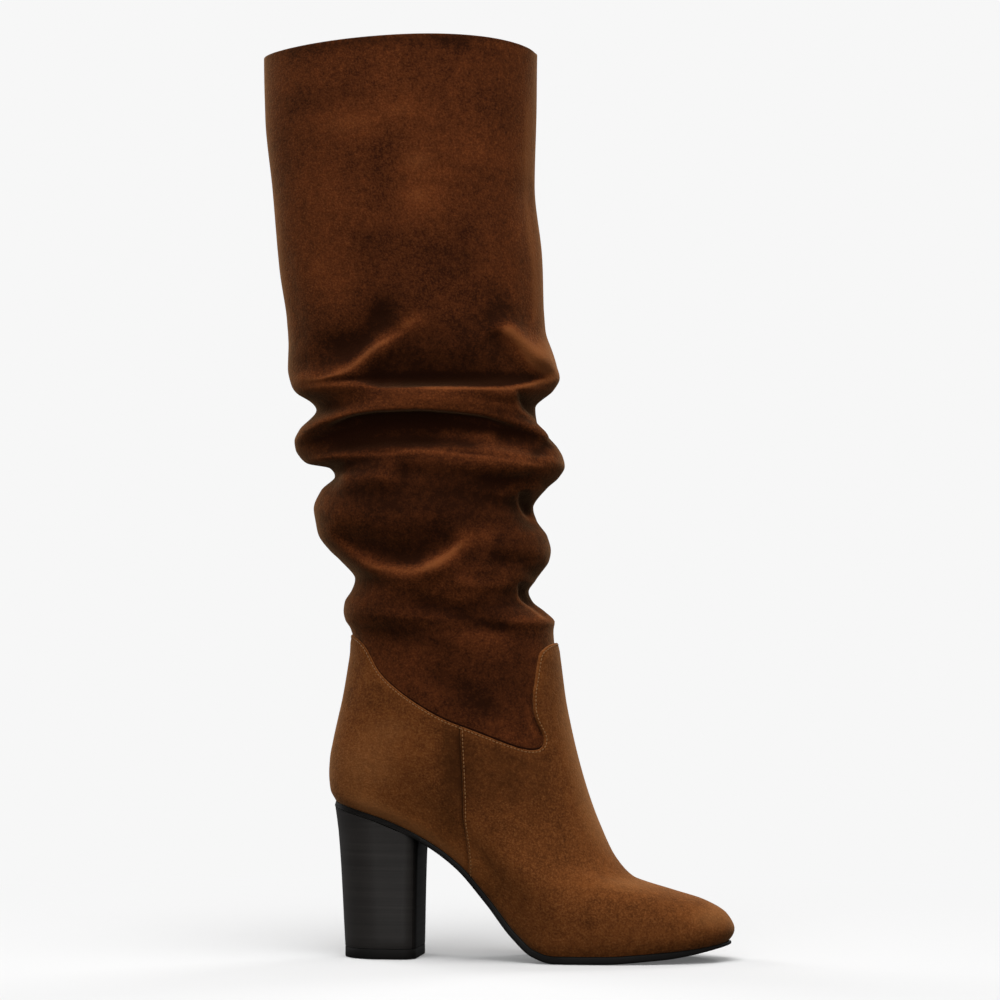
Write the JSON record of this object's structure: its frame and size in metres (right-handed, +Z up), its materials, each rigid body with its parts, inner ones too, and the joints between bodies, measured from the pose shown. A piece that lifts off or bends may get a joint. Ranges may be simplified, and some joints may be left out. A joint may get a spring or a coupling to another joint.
{
  "type": "slouch boot",
  "caption": "Tall suede boot for the right foot: hollow slouched shaft tucked into a lapped foot, thin arched sole with toe spring, and a straight block heel.",
  "frame": {"origin": "middle of the boot's outer box, on the floor it stands on", "axes": "+X to the toe, +Y to the inner side of the foot, +Z up to the collar"},
  "size_m": [0.2656, 0.094, 0.5137],
  "materials": {
    "sole_rubber": "satin black sole with a smooth edge",
    "sock_leather": "plain tan sock leather",
    "heel_stack": "stacked layers painted black, satin",
    "top_rubber": "matte black",
    "foot_suede": "tan-brown suede with a short nap",
    "shaft_suede": "dark brown suede with a short brushed nap"
  },
  "bodies": {
    "root": {"outsole": "sole_rubber", "insole": "sock_leather", "heel": "heel_stack", "heel_top_piece": "top_rubber", "upper": "foot_suede", "shaft": "shaft_suede"}
  },
  "joints": []
}
